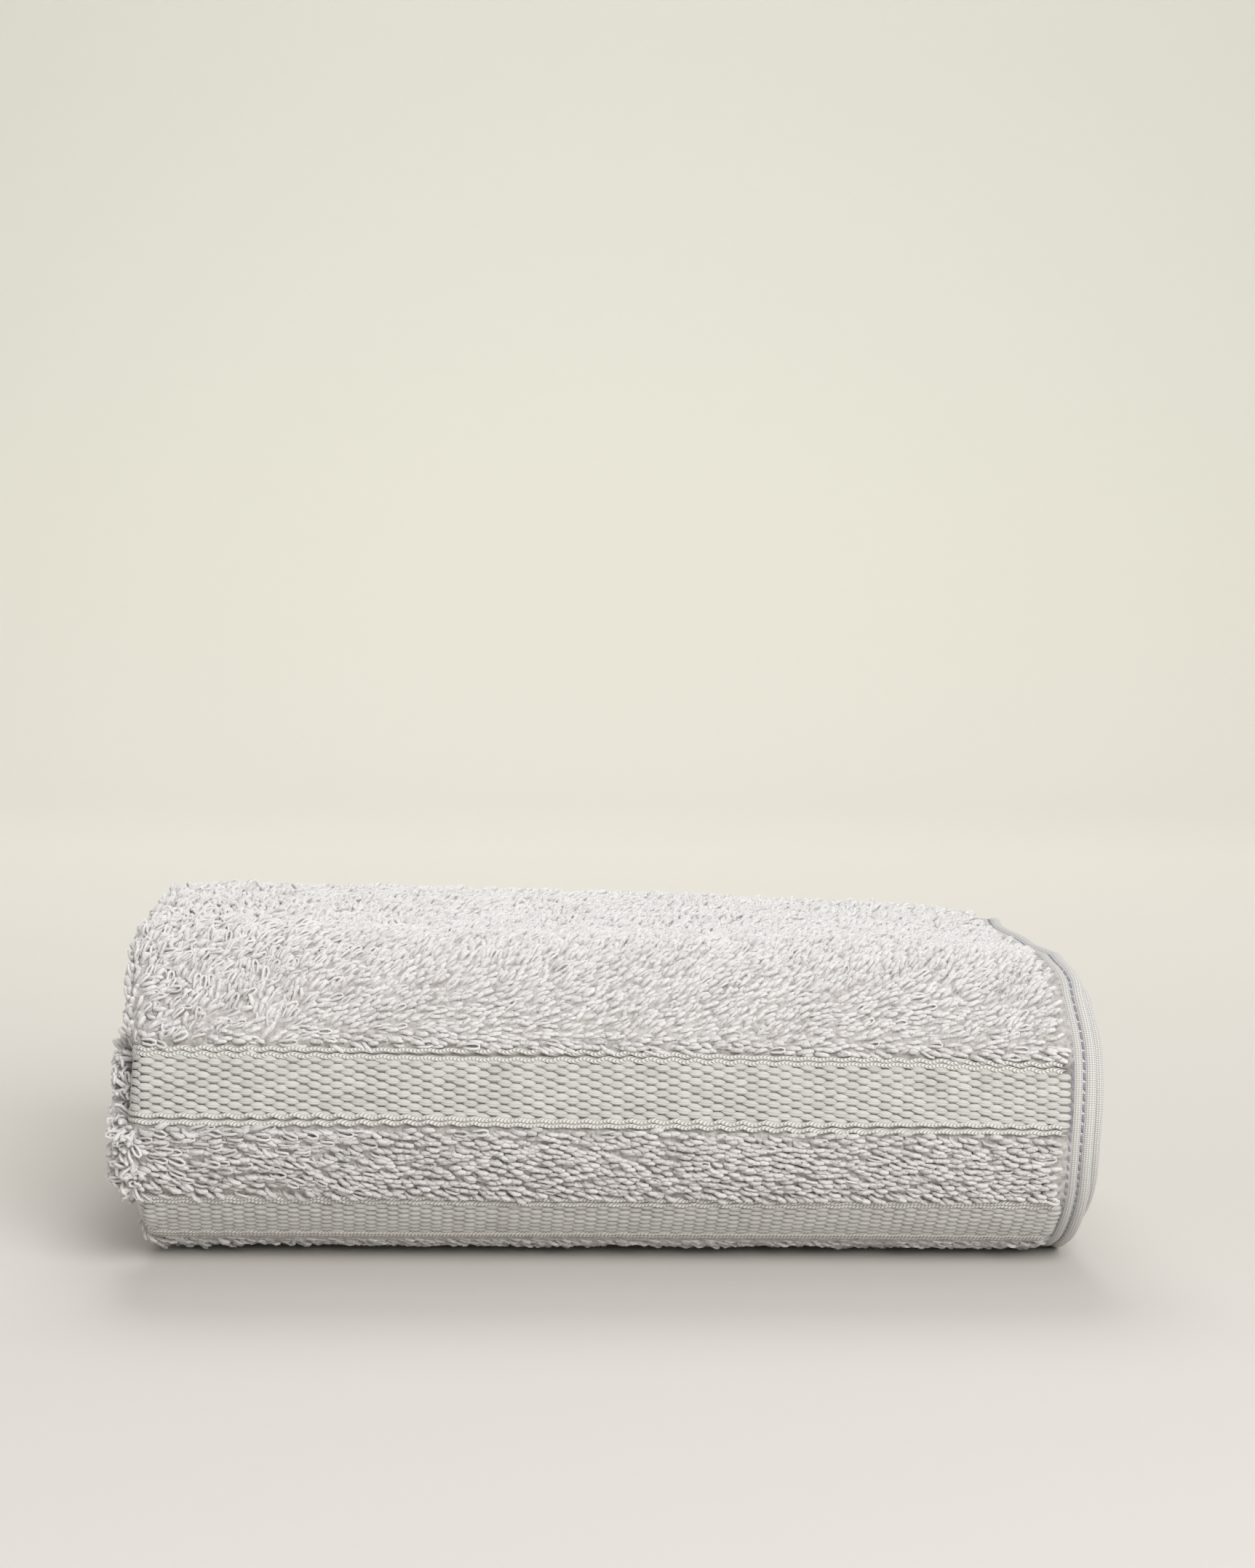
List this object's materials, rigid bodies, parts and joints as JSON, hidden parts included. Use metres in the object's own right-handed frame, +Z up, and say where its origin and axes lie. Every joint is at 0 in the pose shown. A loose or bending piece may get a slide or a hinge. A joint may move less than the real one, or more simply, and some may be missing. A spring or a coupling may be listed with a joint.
{
  "type": "rolled bath towel",
  "caption": "Pale warm grey terry bath towel, folded lengthwise and rolled flat, with its two woven borders across the front.",
  "frame": {"origin": "bottom centre of the roll's box, on the surface that it rests on", "axes": "+X along the roll towards the side hems, the woven borders face -Y, +Z up"},
  "size_m": [0.355, 0.2066, 0.1239],
  "materials": {
    "cotton_terry": "matte"
  },
  "bodies": {
    "root": {"towel_roll": "cotton_terry"}
  },
  "joints": []
}
